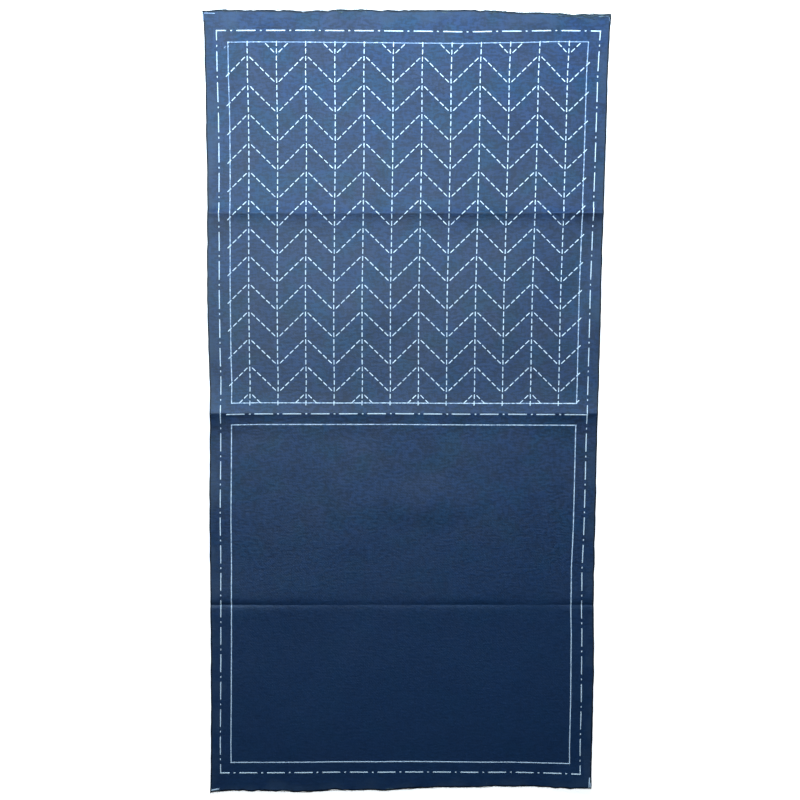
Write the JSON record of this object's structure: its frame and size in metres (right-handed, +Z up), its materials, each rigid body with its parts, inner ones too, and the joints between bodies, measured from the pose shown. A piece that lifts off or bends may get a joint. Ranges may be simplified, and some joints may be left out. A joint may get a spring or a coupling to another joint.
{
  "type": "pre-printed sashiko cloth, opened out flat",
  "caption": "Indigo cotton cloth laid flat and printed with dashed herringbone lines for hand stitching beside a plain framed square, with soft crosswise folds; rests on a table.",
  "frame": {"origin": "on the table, under the middle of the cloth's outline", "axes": "+X across the cloth, +Y along it towards the patterned square, +Z up from the table out of the printed face"},
  "size_m": [0.3663, 0.7159, 0.0051],
  "materials": {
    "cloth": "indigo plain-weave cotton, matt, with a soft bloom on the raised threads",
    "print": "pale blue-white line print that washes out, matt"
  },
  "bodies": {
    "root": {"cloth": "cloth"}
  },
  "joints": []
}
